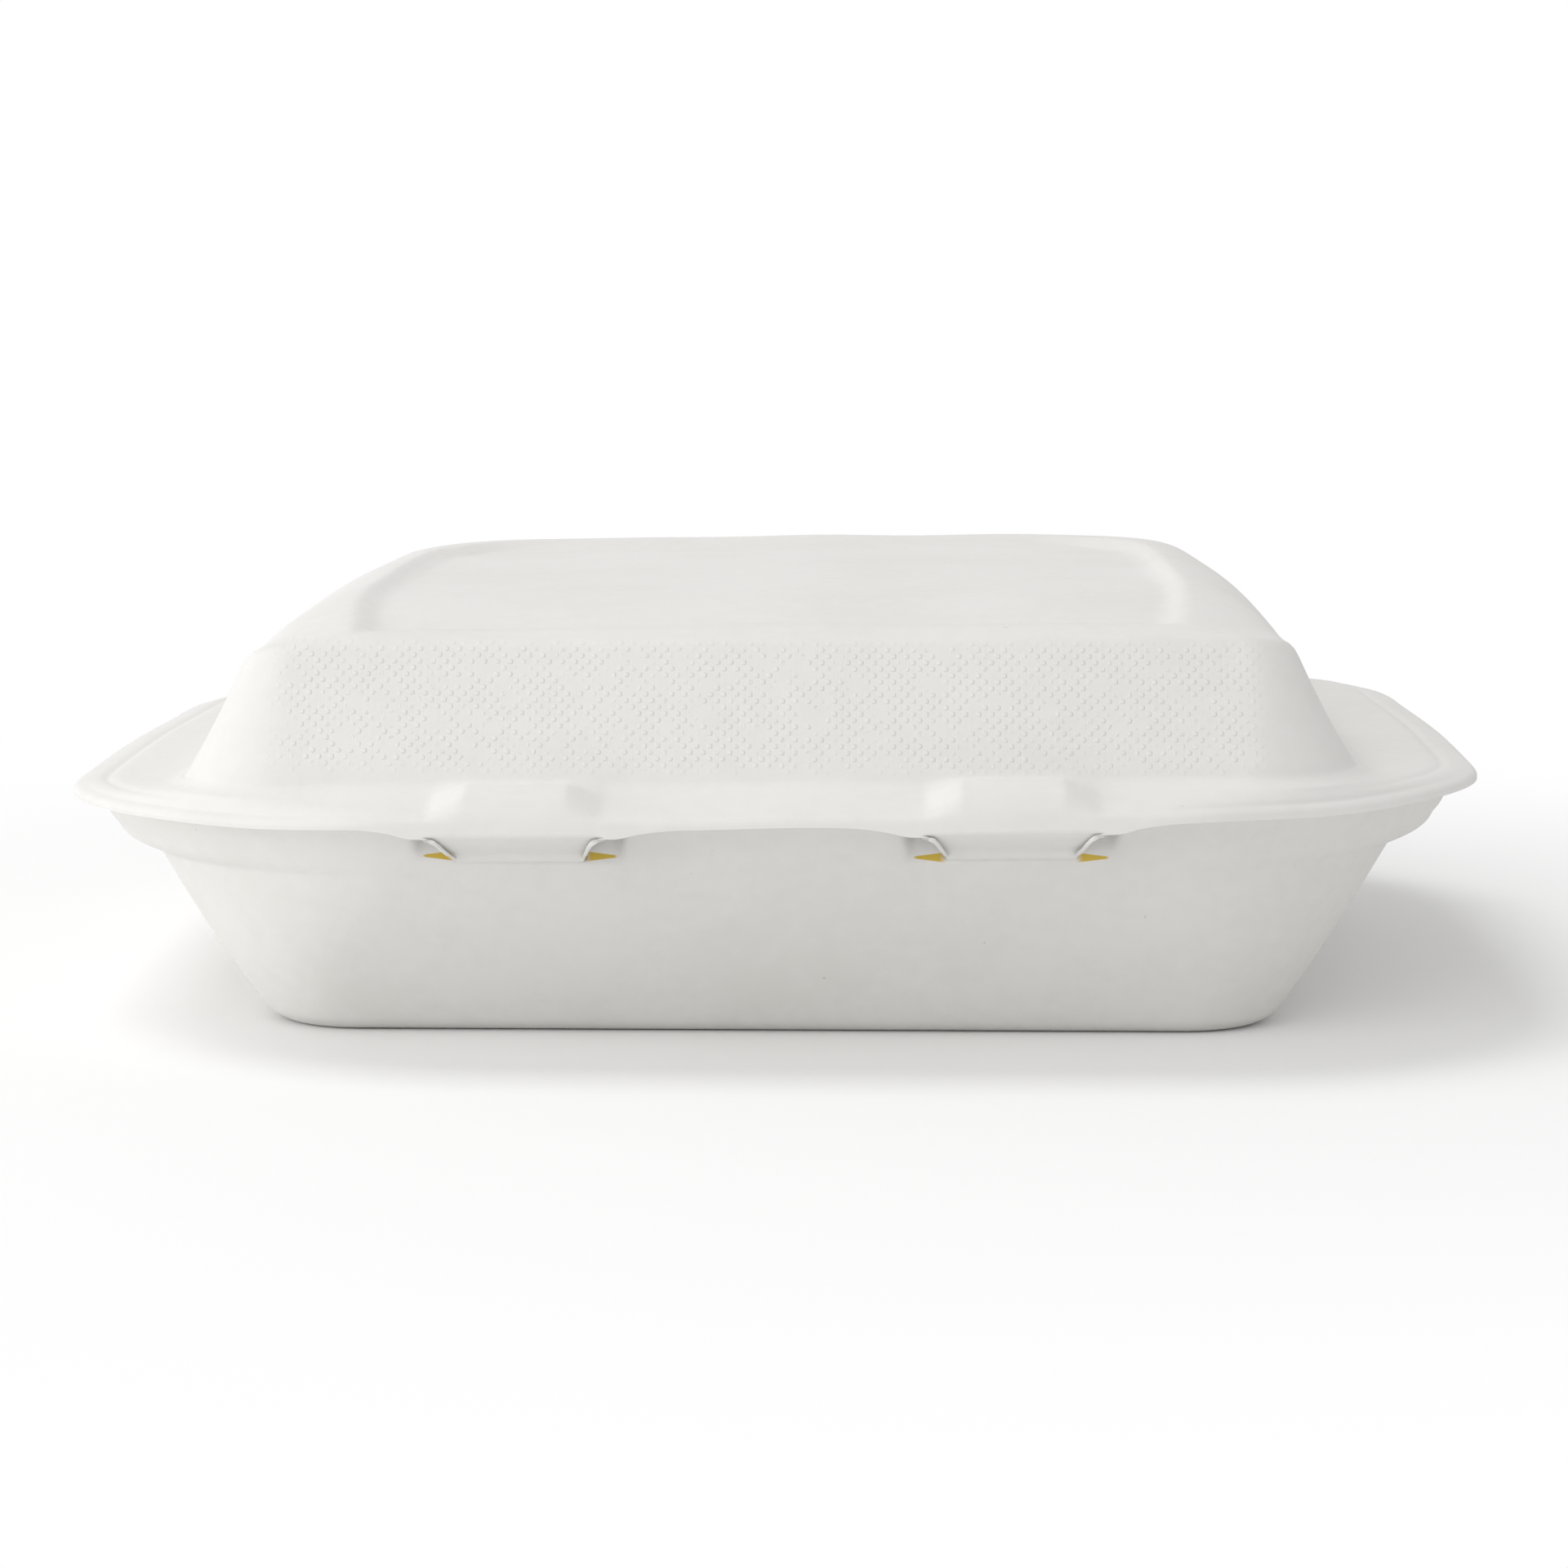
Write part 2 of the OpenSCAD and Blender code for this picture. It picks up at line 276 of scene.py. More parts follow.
def grow_sheet(name: str, loops: Sequence[np.ndarray], side: Side) -> bpy.types.Object:
    """Models an open sheet from a small disc in its middle, extruding its edge ring by ring.

    The disc's edge is creased, because its points are denser in front and rounding would pull it askew.

    Args:
        name: The piece's name.
        loops: Rows of points in millimetres, from the middle outwards.
        side: Which way the outer face looks in the middle.

    Returns:
        The new object, with its faces turned outwards.
    """
    only(None)
    bpy.ops.mesh.primitive_circle_add(vertices=len(loops[0]), radius=10 * MM, fill_type="NGON")
    obj = bpy.context.object
    obj.name = obj.data.name = name
    column = obj.data.attributes.new("column", "INT", "POINT")
    column.data.foreach_set("value", np.arange(len(loops[0]), dtype=np.int32))
    bpy.ops.object.mode_set(mode="EDIT")
    bpy.ops.mesh.select_mode(type="EDGE")
    bpy.ops.mesh.select_all(action="SELECT")
    place_selected(obj, loops[0])
    bpy.ops.mesh.region_to_loop()
    for loop in loops[1:]:
        bpy.ops.mesh.extrude_region_move()
        place_selected(obj, loop)
    bpy.ops.mesh.select_mode(type="FACE")
    bpy.ops.mesh.select_all(action="SELECT")
    bpy.ops.mesh.normals_make_consistent(inside=False)
    bpy.ops.mesh.select_all(action="DESELECT")
    edit = bmesh.from_edit_mesh(obj.data)
    max(edit.faces, key=lambda face: len(face.verts)).select_set(True)
    bpy.ops.transform.edge_crease(value=1)
    bpy.ops.object.mode_set(mode="OBJECT")
    middle = min(obj.data.polygons, key=lambda face: face.center.xy.length)
    if middle.normal.z * side.value < 0:
        obj.data.flip_normals()
    obj.data.attributes.remove(obj.data.attributes["column"])
    return obj


def cut_window(obj: bpy.types.Object, inside: Callable[[Vector], bool]) -> int:
    """Deletes the faces of a sheet whose middles lie in a window.

    Args:
        obj: The sheet.
        inside: Says whether a face's middle, in millimetres, is in the window.

    Returns:
        How many faces went.
    """
    only(obj)
    bpy.ops.object.mode_set(mode="EDIT")
    bpy.ops.mesh.select_mode(type="FACE")
    bpy.ops.mesh.select_all(action="DESELECT")
    edit = bmesh.from_edit_mesh(obj.data)
    gone = [face for face in edit.faces if inside(face.calc_center_median() / MM)]
    for face in gone:
        face.select_set(True)
    count = len(gone)
    bmesh.update_edit_mesh(obj.data)
    bpy.ops.mesh.delete(type="FACE")
    bpy.ops.object.mode_set(mode="OBJECT")
    return count


def move_points(obj: bpy.types.Object, shift: Callable[[np.ndarray], np.ndarray]) -> None:
    """Moves every vertex of a mesh by a rule on its place in millimetres.

    Args:
        obj: The mesh object.
        shift: Takes places of shape (n, 3) in millimetres and returns the new ones.
    """
    flat = np.empty(len(obj.data.vertices) * 3, np.float32)
    obj.data.vertices.foreach_get("co", flat)
    moved = shift(flat.reshape(-1, 3).astype(float) / MM) * MM
    obj.data.vertices.foreach_set("co", moved.astype(np.float32).ravel())
    obj.data.update()


def thicken(obj: bpy.types.Object, sheet: float, smoothing: int = 1) -> None:
    """Gives a sheet its thickness on the inner side and rounds it, with both modifiers applied.

    Args:
        obj: The sheet, with its faces turned outwards.
        sheet: Thickness in millimetres.
        smoothing: Subdivision levels.
    """
    only(obj)
    bpy.ops.object.modifier_add(type="SOLIDIFY")
    wall = obj.modifiers[-1]
    wall.thickness = sheet * MM
    wall.offset = -1
    wall.use_even_offset = False
    wall.use_quality_normals = True
    bpy.ops.object.modifier_apply(modifier=wall.name)
    bpy.ops.object.modifier_add(type="SUBSURF")
    rounding = obj.modifiers[-1]
    rounding.levels = rounding.render_levels = smoothing
    rounding.use_limit_surface = False
    bpy.ops.object.modifier_apply(modifier=rounding.name)
    bpy.ops.object.shade_smooth_by_angle(angle=math.radians(60))


def report(obj: bpy.types.Object, words: str) -> None:
    """Logs a finished piece, with its number of triangles."""
    triangles = sum(len(face.vertices) - 2 for face in obj.data.polygons)
    log.info("%s: %s, %d triangles", obj.name, words, triangles)


# ---------------------------------------------------------------- shells

@dataclass
class Warp:
    """The small unevenness of the photographed container: its right side stands a little higher."""

    lean: float = 0.012
    full_z: float = 40.0
    hinge_from: float = 60.0
    hinge_to: float = 112.0
    lip_wave: float = 0.12

    def bend(self, p: np.ndarray) -> np.ndarray:
        """Returns the places after the lean, which fades out towards the hinge.

        Args:
            p: Places in millimetres.

        Returns:
            The moved places in millimetres.
        """
        x, y, z = p.T
        high = np.clip(z / self.full_z, 0, 1)
        free = 1 - smooth((y - self.hinge_from) / (self.hinge_to - self.hinge_from))
        wave = np.sin(x / 9.7 + 1.3) + 0.7 * np.sin(x / 5.3 + 0.4) + 0.6 * np.sin(y / 11.9 + 2.1)
        dz = (self.lean * x + self.lip_wave * wave * np.clip(high - 0.85, 0, 0.1) * 10) * high * free
        return np.column_stack([x, y, z + dz])


@dataclass
class Tray:
    """The lower shell: flat floor, leaning walls, ledge, upright mouth and flange, with two slots.

    Sizes are in millimetres.
    """

    sizes: Sizes
    plan: RingPlan
    warp: Warp
    floor_half: float = 81.8
    floor_edge_r: float = 6.0
    floor_corner_r: float = 15.0
    middle_corner: float = 0.45
    ledge_z: float = 28.4
    ledge_half: float = 100.0
    ledge_step: float = 6.2
    ledge_rise: float = 2.0
    mouth_half: float = 109.2
    mouth_drop: float = 2.0
    flange: float = 1.4
    slot_half_h: float = 0.62
    slot_end: float = 4.4
    recess_inner: float = 15.2
    recess_outer: float = 16.4
    recess_squeeze: float = 0.12

    @property
    def lean(self) -> float:
        """How far the wall goes out for each millimetre up."""
        return (self.ledge_half - self.floor_half) / self.ledge_z

    def wall_half(self, z: float) -> float:
        """Returns the half width of the leaning wall at a height."""
        return self.floor_half + self.lean * z

    @property
    def recess_y(self) -> float:
        """How far forward the wall goes in the recess behind each tongue."""
        s = self.sizes
        return self.wall_half(s.slot_z) + s.rim_bow * s.slot_z / s.tray_rim_z * 0.7

    def ring(self, half: float, front: float, z: float, reach: float = 0.0) -> Ring:
        """Returns the ring at a height, whose corners grow rounder towards the ledge."""
        s = self.sizes
        low = self.floor_corner_r - (self.floor_half - min(half, self.floor_half))
        corner = mix(low, s.rim_corner(half), min(1.0, max(0.0, z / self.ledge_z)))
        return Ring(half, front, z, z, corner, s.rim_bow * z / s.tray_rim_z, reach=reach)

    def floor_ring(self, share: float, edge: Ring) -> Ring:
        """Returns the ring at a share of the way out to the floor's edge, rounder further in."""
        half = edge.half * share
        return Ring(half, half, 0, 0, mix(self.middle_corner * half, edge.corner, share ** 4), 0)

    def rings(self) -> list[Ring]:
        """Returns the outer face's rings, from the floor out to the edge of the flange."""
        s = self.sizes
        turn = math.pi / 2 - math.atan(self.lean)
        start = self.floor_half - self.floor_edge_r * math.tan(turn / 2)
        edge = self.ring(start, start, 0)
        rings = [self.floor_ring(share, edge) for share in (0.15, 0.4, 0.65, 0.85, 0.95)]
        for i in range(8):
            angle = turn * i / 7
            half = start + self.floor_edge_r * math.sin(angle)
            rings.append(self.ring(half, half, self.floor_edge_r * (1 - math.cos(angle))))
        for share in (0.3, 0.45, 0.6, 0.75, 0.87, 0.95):
            z = self.ledge_z * share
            rings.append(self.ring(self.wall_half(z), self.wall_half(z), z))
        slot_low, slot_high = s.slot_z - self.slot_half_h, s.slot_z + self.slot_half_h
        ledge = [
            (self.ledge_half + 0.1, self.ledge_z + 0.1),
            (self.ledge_half + 0.9, self.ledge_z + 0.55),
            (self.ledge_half + self.ledge_step * 0.5, self.ledge_z + 1.1),
            (self.ledge_half + self.ledge_step * 0.8, self.ledge_z + 1.75),
            (self.ledge_half + self.ledge_step * 0.97, self.ledge_z + 2.4),
            (mix(self.ledge_half + self.ledge_step, self.mouth_half, 0.2), slot_low),
            (mix(self.ledge_half + self.ledge_step, self.mouth_half, 0.33), slot_high),
        ]
        rings += [self.ring(half, self.wall_half(z), z) for half, z in ledge]
        mouth_z = s.tray_rim_z - self.mouth_drop
        for share in (0.25, 0.6, 0.92):
            z = mix(slot_high, mouth_z, share)
            rings.append(self.ring(mix(rings[-1].half, self.mouth_half, 0.5), self.wall_half(z), z))
        rings.append(self.ring(self.mouth_half, self.wall_half(mouth_z), mouth_z))
        reach = s.rim_half - self.mouth_half - self.flange
        front_end = self.mouth_half + self.flange
        for out, up, back in ((0.15, 0.45, 0.1), (0.4, 0.75, 0.3), (0.75, 0.98, 0.7), (1.0, 1.1, 1.0)):
            front = mix(self.wall_half(mouth_z), front_end, out)
            z = min(mouth_z + up, s.tray_rim_z - s.sheet)
            rings.append(self.ring(self.mouth_half + self.flange * out, front, z, reach * back))
        return rings

    def recessed(self, p: np.ndarray) -> np.ndarray:
        """Returns a ring's points with the wall held upright behind each tongue."""
        w = self.sizes.near_latch(p[:, 0], self.recess_inner, self.recess_outer)
        over = np.maximum(0, -p[:, 1] - self.recess_y)
        p[:, 1] += w * over * (1 - self.recess_squeeze)
        return p

    def in_slot(self, middle: Vector) -> bool:
        """Says whether a face lies in one of the two slots."""
        s = self.sizes
        return (middle.y < -95 and abs(abs(middle.x) - s.tab_x) < s.slot_half - self.slot_end
                and abs(middle.z - s.slot_z) < self.slot_half_h)

    def build(self, material: bpy.types.Material) -> bpy.types.Object:
        """Models the shell, cuts its slots and hangs it on its body.

        Args:
            material: The fibre finish.

        Returns:
            The finished piece.
        """
        loops = [self.recessed(self.plan.points(ring)) for ring in self.rings()]
        shell = grow_sheet("tray_shell", loops, Side.DOWN)
        gone = cut_window(shell, self.in_slot)
        thicken(shell, self.sizes.sheet)
        move_points(shell, self.warp.bend)
        shell.data.materials.append(material)
        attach(shell, "tray")
        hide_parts("tray")
        report(shell, f"{len(loops)} rings, {gone} faces cut for the slots")
        return shell


@dataclass
class Lid:
    """The upper shell: domed top with a sunken panel, flange with a crease, skirt, bosses and tongues.

    Sizes are in millimetres.
    """

    sizes: Sizes
    plan: RingPlan
    warp: Warp
    recess_y: float
    dome_half: float = 93.4
    shoulder_half: float = 83.0
    front_flat: float = 74.5
    edge_front: float = 93.4
    edge_z: float = 63.8
    edge_r: float = 3.5
    corner_turn: tuple[float, float] = (0.85, 1.0)
    shoulder_h: float = 18.5
    shoulder_r: float = 22.0
    top_corner_r: float = 26.0
    crown: float = 1.0
    crease: float = 0.4
    front_lift: float = 1.3
    mouth_half: float = 109.2
    tray_flange: float = 1.4
    boss_face: float = 8.0
    boss_foot: float = 13.3
    boss_h: float = 2.4
    rim_dip: float = 1.4
    dip_inner: float = 15.2
    dip_outer: float = 22.0
    tongue_half: float = 13.9
    tip_half: float = 10.2
    tongue_side: float = 1.2
    tongue_way: tuple[tuple[float, float, float], ...] = (
        (0.2, -113.2, 35.2), (0.45, -109.6, 33.9), (0.7, -106.4, 32.9), (0.88, -106.6, 31.7), (1.0, -104.8, 31.2))
    skirt_end: float = 35.0
    skirt_fade: float = 40.0
    skirt_rest: float = 0.25
    skirt_spread: float = 0.45
    panel_half: float = 66.0
    panel_drop: float = 1.5

    @property
    def lean(self) -> float:
        """Angle of the dome's wall from upright, in radians."""
        return math.atan((self.dome_half - self.shoulder_half) / self.shoulder_h)

    @property
    def round_half(self) -> float:
        """Half width of the top where it starts to round down."""
        return self.shoulder_half - self.shoulder_r * math.cos(self.lean)

    @property
    def round_z(self) -> float:
        """Height of the centre of the round between wall and top."""
        return self.sizes.rim_z + self.shoulder_h - self.shoulder_r * math.sin(self.lean)

    @property
    def top_z(self) -> float:
        """Height of the top's edge."""
        return self.round_z + self.shoulder_r

    def corner(self, half: float) -> float:
        """Returns the corner radius that keeps the front wall's straight part as long at every height."""
        return half - self.front_flat

    def front_profile(self, i: int, last: int, bent: int) -> tuple[float, float]:
        """Returns the reach and height of the front's outline, from the top over the tight edge.

        Args:
            i: The ring's number, 0 where the top starts to fall.
            last: The number of the ring where the wall begins.
            bent: The number of the ring where the shallow fall meets the tight edge.

        Returns:
            The reach towards the latches and the height.
        """
        wall = math.pi / 2 - self.lean
        start = math.radians(25.5)
        meet_y = self.edge_front - self.edge_r * (math.sin(wall) - math.sin(start))
        meet_z = self.edge_z + self.edge_r * (math.cos(start) - math.cos(wall))
        if i < bent:
            run, fall = meet_y - self.round_half, self.top_z - meet_z
            radius = (run ** 2 + fall ** 2) / (2 * fall)
            out = run * i / bent
            return self.round_half + out, self.top_z - radius + math.sqrt(radius ** 2 - out ** 2)
        turn = mix(start, wall, (i - bent) / (last - bent))
        return (self.edge_front - self.edge_r * (math.sin(wall) - math.sin(turn)),
                self.edge_z + self.edge_r * (math.cos(turn) - math.cos(wall)))

    def top_rings(self) -> list[Ring]:
        """Returns the rings of the crowned top and of its edge, round at the sides and tight in front."""
        s = self.sizes
        rings = []
        for share, rise in ((0.02, 1.0), (0.2, 0.97), (0.45, 0.8), (0.65, 0.55),
                            (0.8, 0.34), (0.88, 0.2), (0.94, 0.1)):
            half = self.round_half * share
            z = self.top_z + self.crown * rise
            rings.append(Ring(half, half, z, z, half * mix(0.5, 0.4, share),
                              s.rim_bow * 0.55 * share))
        last, bent = 12, 8
        for i in range(last + 1):
            angle = (math.pi / 2 - self.lean) * i / last
            half = self.round_half + self.shoulder_r * math.sin(angle)
            z = self.round_z + self.shoulder_r * math.cos(angle)
            front, front_z = self.front_profile(i, last, bent)
            corner = mix(self.top_corner_r, self.corner(self.shoulder_half), i / last)
            rings.append(Ring(half, front, z, front_z, corner, s.rim_bow * 0.55, turn=self.corner_turn))
        return rings

    def wall_rings(self) -> list[Ring]:
        """Returns the rings of the dome's wall and its foot."""
        s = self.sizes
        foot = s.rim_half - 9
        shoulder_z = s.rim_z + self.shoulder_h
        rings = []
        for t in (0.12, 0.3, 0.5, 0.66, 0.8, 0.9):
            half = mix(self.shoulder_half, self.dome_half, t)
            rings.append(Ring(
                half, mix(self.edge_front, foot, t),
                mix(shoulder_z, s.rim_z, t), mix(self.edge_z, s.rim_z + self.front_lift, t),
                self.corner(half), s.rim_bow * mix(0.55, 0.65, t), turn=self.corner_turn))
        for out, front_out, rise, front_rise, bow, latch in (
                (-0.8, -0.8, 1.2, 1.0, 0.7, 0.3), (0.5, 0.6, 0.35, 0.1, 0.75, 0.6), (2.4, 1.8, 0.0, -0.3, 0.8, 0.8)):
            half = self.dome_half + out
            rings.append(Ring(half, foot + front_out, s.rim_z + rise, s.rim_z + self.front_lift + front_rise,
                              self.corner(half), s.rim_bow * bow, latch))
        return rings

    def flange_ring(self, half: float, front: float, fall: float, front_fall: float,
                    latch: float, tongue: float = 0.0) -> Ring:
        """Returns a ring of the flange or the skirt, given by its fall from the flange's height."""
        s = self.sizes
        return Ring(half, front, s.rim_z - fall, s.rim_z - front_fall, s.rim_corner(half), s.rim_bow,
                    latch, 0.0, tongue)

    def rim_rings(self) -> list[Ring]:
        """Returns the rings of the flange, its crease, the skirt and the tongues."""
        s = self.sizes
        foot, mouth, rim = s.rim_half - 9, self.mouth_half, s.rim_half
        rings = [
            self.flange_ring(mouth - 5.6, foot + 2.5, 0.02, -0.75, 1),
            self.flange_ring(mouth - 3.4, foot + 3.2, 0.1, -0.5, 1),
            self.flange_ring(mouth - 2.6, foot + 3.8, 0.28 + self.crease * 0.5, -0.3, 1),
            self.flange_ring(mouth - 2, foot + 4.4, 0.4 + self.crease, -0.1, 1),
            self.flange_ring(mouth - 1.4, foot + 5.0, 0.45 + self.crease * 0.6, 0.1, 1),
            self.flange_ring(mouth - 0.7, foot + 5.8, 0.6, 0.35, 0.98),
            self.flange_ring(mouth + 1.0, foot + 6.9, 0.95, 0.8, 0.92),
            self.flange_ring(rim - 1.6, rim - 1.6, s.rim_fall, s.rim_fall, 0.8),
            self.flange_ring(rim - 0.75, rim - 0.75, s.rim_fall + 0.3, s.rim_fall + 0.3, 0.45),
            self.flange_ring(rim - 0.2, rim - 0.2, s.rim_fall + 0.8, s.rim_fall + 0.8, 0.0),
            self.flange_ring(rim, rim, s.rim_fall + 1.3, s.rim_fall + 1.3, -0.8),
        ]
        for tongue in (0.0, 0.2, 0.45, 0.7, 0.88, 1.0):
            fall = s.skirt_drop - self.skirt_spread * (1 - tongue)
            rings.append(self.flange_ring(rim, rim, fall, fall, -1, tongue))
        return rings

    def flange_loop(self, ring: Ring, foot: Ring, edge: Ring) -> np.ndarray:
        """Returns a flange ring's points, laid between the dome's foot and the flange's edge.

        In the corners the foot all but reaches the edge, so each point goes the same share of its own way.
        """
        p, near, far = (self.plan.points(each) for each in (ring, foot, edge))
        side_t = (ring.half - foot.half) / (edge.half - foot.half)
        front_t = (ring.front - foot.front) / (edge.front - foot.front)
        t = mix(side_t, front_t, self.plan.front_share(p[:, 1], ring))[:, None]
        p[:, :2] = near[:, :2] * (1 - t) + far[:, :2] * t
        return p

    def tucked(self, p: np.ndarray) -> np.ndarray:
        """Returns a ring's points with the skirt dying away towards the hinge."""
        floor_z = self.sizes.hinge_z + self.sizes.gap / 2 + self.sizes.sheet
        w = smooth((p[:, 1] - self.skirt_end) / self.skirt_fade)
        p[:, 2] -= w * (1 - self.skirt_rest) * np.minimum(0, p[:, 2] - floor_z)
        return p

    def raised(self, p: np.ndarray, share: float) -> np.ndarray:
        """Returns a ring's points with its bosses stood up or its rim dipped over the tongues."""
        near = self.sizes.near_latch
        in_front = p[:, 1] < 0
        boss = near(p[:, 0], self.boss_face, self.boss_foot) * self.boss_h
        dip = smooth(near(p[:, 0], self.dip_inner, self.dip_outer)) * self.rim_dip
        p[:, 2] += in_front * share * (boss if share > 0 else dip)
        return p

    def tongued(self, p: np.ndarray, share: float) -> np.ndarray:
        """Returns the skirt's points with the tongues led down and in, to a bead that fills the slot."""
        if not share:
            return p
        way = {place: (y, z) for place, y, z in self.tongue_way}
        y, z = way[share]
        outer = mix(self.tongue_half, self.tip_half + self.tongue_side, share)
        w = self.sizes.near_latch(p[:, 0], outer - self.tongue_side, outer) * (p[:, 1] < 0)
        p[:, 1] += w * (y - p[:, 1])
        p[:, 2] += w * (z - p[:, 2])
        return p

    def sunken(self, p: np.ndarray) -> np.ndarray:
        """Returns points of the top with its middle panel a little lower than its shoulders.

        Args:
            p: Places in millimetres.

        Returns:
            The moved places in millimetres.
        """
        x, y, z = p.T
        radius, turn_y = 44.0, 22.0
        behind = np.clip(y - turn_y, 0, radius)
        edge = self.panel_half - radius + np.sqrt(radius ** 2 - behind ** 2)
        edge -= 2.3 * np.clip((-y - 50) / 38, 0, 1.4) ** 2
        inside = smooth((edge + 1.6 - np.abs(x)) / 3.2)
        fade = 1 - smooth((y - 42) / 26)
        blunt = smooth((y + 90.5) / 3.0)
        drop = self.panel_drop * inside * fade * blunt * (z > 60)
        return np.column_stack([x, y, z - drop])

    def build(self, material: bpy.types.Material) -> bpy.types.Object:
        """Models the shell with its bosses and tongues and hangs it on its body.

        Args:
            material: The fibre finish.

        Returns:
            The finished piece.
        """
        dome, rim = self.top_rings() + self.wall_rings(), self.rim_rings()
        foot, edge = dome[-1], next(ring for ring in rim if ring.half > self.sizes.rim_half - 2)
        laid = [(ring, self.plan.points(ring)) for ring in dome]
        laid += [(ring, self.flange_loop(ring, foot, edge) if ring.half < edge.half else self.plan.points(ring))
                 for ring in rim]
        loops = [self.tucked(self.tongued(self.raised(p, ring.latch), ring.tongue)) for ring, p in laid]
        shell = grow_sheet("lid_shell", loops, Side.UP)
        thicken(shell, self.sizes.sheet)
        move_points(shell, self.sunken)
        move_points(shell, self.warp.bend)
        shell.data.materials.append(material)
        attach(shell, "lid")
        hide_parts("lid")
        report(shell, f"{len(loops)} rings")
        return shell


@dataclass
class HingeStrip:
    """The creased strip along the back, where the two shells are one sheet. Sizes in millimetres."""

    sizes: Sizes
    half_length: float = 46.0
    half_height: float = 0.85
    bulge: float = 0.35
    along: int = 60
    around: int = 8

    def build(self, material: bpy.types.Material) -> bpy.types.Object:
        """Models the strip and bends it between tray and lid.

        Args:
            material: The fibre finish.

        Returns:
            The finished piece.
        """
        s = self.sizes
        only(None)
        bpy.ops.mesh.primitive_grid_add(x_subdivisions=self.along, y_subdivisions=self.around, size=2)
        strip = bpy.context.object
        strip.name = strip.data.name = "hinge_strip"

        def lay(p: np.ndarray) -> np.ndarray:
            """Returns the flat grid's points laid round the back edge."""
            u, v = p[:, 0] * MM, p[:, 1] * MM
            end = 1 - smooth((np.abs(u) - 0.9) / 0.1)
            turn = v * math.pi / 2
            y = s.hinge_y - 0.3 + self.bulge * np.cos(turn) * (0.3 + 0.7 * end)
            return np.column_stack([u * self.half_length, y, s.hinge_z + self.half_height * np.sin(turn)])

        move_points(strip, lay)
        middle = strip.data.polygons[len(strip.data.polygons) // 2]
        if middle.normal.y < 0:
            strip.data.flip_normals()
        thicken(strip, 0.4)
        strip.data.materials.append(material)
        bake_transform(strip)
        report(strip, "bends across the hinge")
        return strip


# ---------------------------------------------------------------- finishes

class Value:
    """A number that varies over a surface. Its operators add the Math nodes that work it out."""

    def __init__(self, kit: "NodeKit", socket: bpy.types.NodeSocket) -> None:
        """Wraps an output socket."""
        self.kit = kit
        self.socket = socket

    def _math(self, operation: str, *values: "Value | float") -> "Value":
        """Returns the result of a Math node on the given values."""
        node = self.kit.node("ShaderNodeMath", {"operation": operation}, dict(enumerate(values)))
        return Value(self.kit, node.outputs[0])

    def __add__(self, other: "Value | float") -> "Value":
        """Returns the sum."""
        return self._math("ADD", self, other)

    def __radd__(self, other: float) -> "Value":
        """Returns the sum."""
        return self._math("ADD", other, self)

    def __sub__(self, other: "Value | float") -> "Value":
        """Returns the difference."""
        return self._math("SUBTRACT", self, other)

    def __rsub__(self, other: float) -> "Value":
        """Returns the difference."""
        return self._math("SUBTRACT", other, self)

    def __mul__(self, other: "Value | float") -> "Value":
        """Returns the product."""
        return self._math("MULTIPLY", self, other)

    def __rmul__(self, other: float) -> "Value":
        """Returns the product."""
        return self._math("MULTIPLY", other, self)

    def absolute(self) -> "Value":
        """Returns the value without its sign."""
        return self._math("ABSOLUTE", self)

    def step(self, low: float, high: float) -> "Value":
        """Returns 0 below low, 1 above high and an eased value between. High may be the smaller."""
        node = self.kit.node("ShaderNodeMapRange", {"interpolation_type": "SMOOTHSTEP"},
                             {"Value": self, "From Min": low, "From Max": high})
        return Value(self.kit, node.outputs[0])


class NodeKit:
    """Adds the nodes of one material or world."""

    def __init__(self, tree: bpy.types.NodeTree) -> None:
        """Clears the tree and keeps it."""
        self.tree = tree
        tree.nodes.clear()

    def node(self, kind: str, settings: dict[str, object] | None = None,
             inputs: dict[str | int, object] | None = None) -> bpy.types.Node:
        """Adds a node, with its settings first and then its inputs.

        Args:
            kind: The node's type.
            settings: Properties such as operation.
            inputs: Values, colours, sockets or Values, by the input's name or number.

        Returns:
            The new node.
        """
        node = self.tree.nodes.new(kind)
        for name, setting in (settings or {}).items():
            setattr(node, name, setting)
        for name, value in (inputs or {}).items():
            socket = node.inputs[name]
            if isinstance(value, Value):
                self.tree.links.new(value.socket, socket)
            elif isinstance(value, bpy.types.NodeSocket):
                self.tree.links.new(value, socket)
            else:
                socket.default_value = value
        return node

    def value(self, kind: str, settings: dict[str, object] | None = None,
              inputs: dict[str | int, object] | None = None, output: str | int = 0) -> Value:
        """Adds a node and returns one of its outputs as a Value."""
        return Value(self, self.node(kind, settings, inputs).outputs[output])

    def colour(self, factor: Value, first: object, second: object) -> bpy.types.NodeSocket:
        """Returns the mix of two colours, the second where factor is 1."""
        node = self.tree.nodes.new("ShaderNodeMix")
        node.data_type = "RGBA"
        self.tree.links.new(factor.socket, node.inputs["Factor"])
        for name, colour in (("A", first), ("B", second)):
            socket = next(i for i in node.inputs if i.name == name and i.type == "RGBA")
            if isinstance(colour, bpy.types.NodeSocket):
                self.tree.links.new(colour, socket)
            else:
                socket.default_value = colour
        return next(o for o in node.outputs if o.type == "RGBA")


def rgba(colour: tuple[float, float, float]) -> tuple[float, float, float, float]:
    """Returns an opaque colour."""
    return (*colour, 1.0)


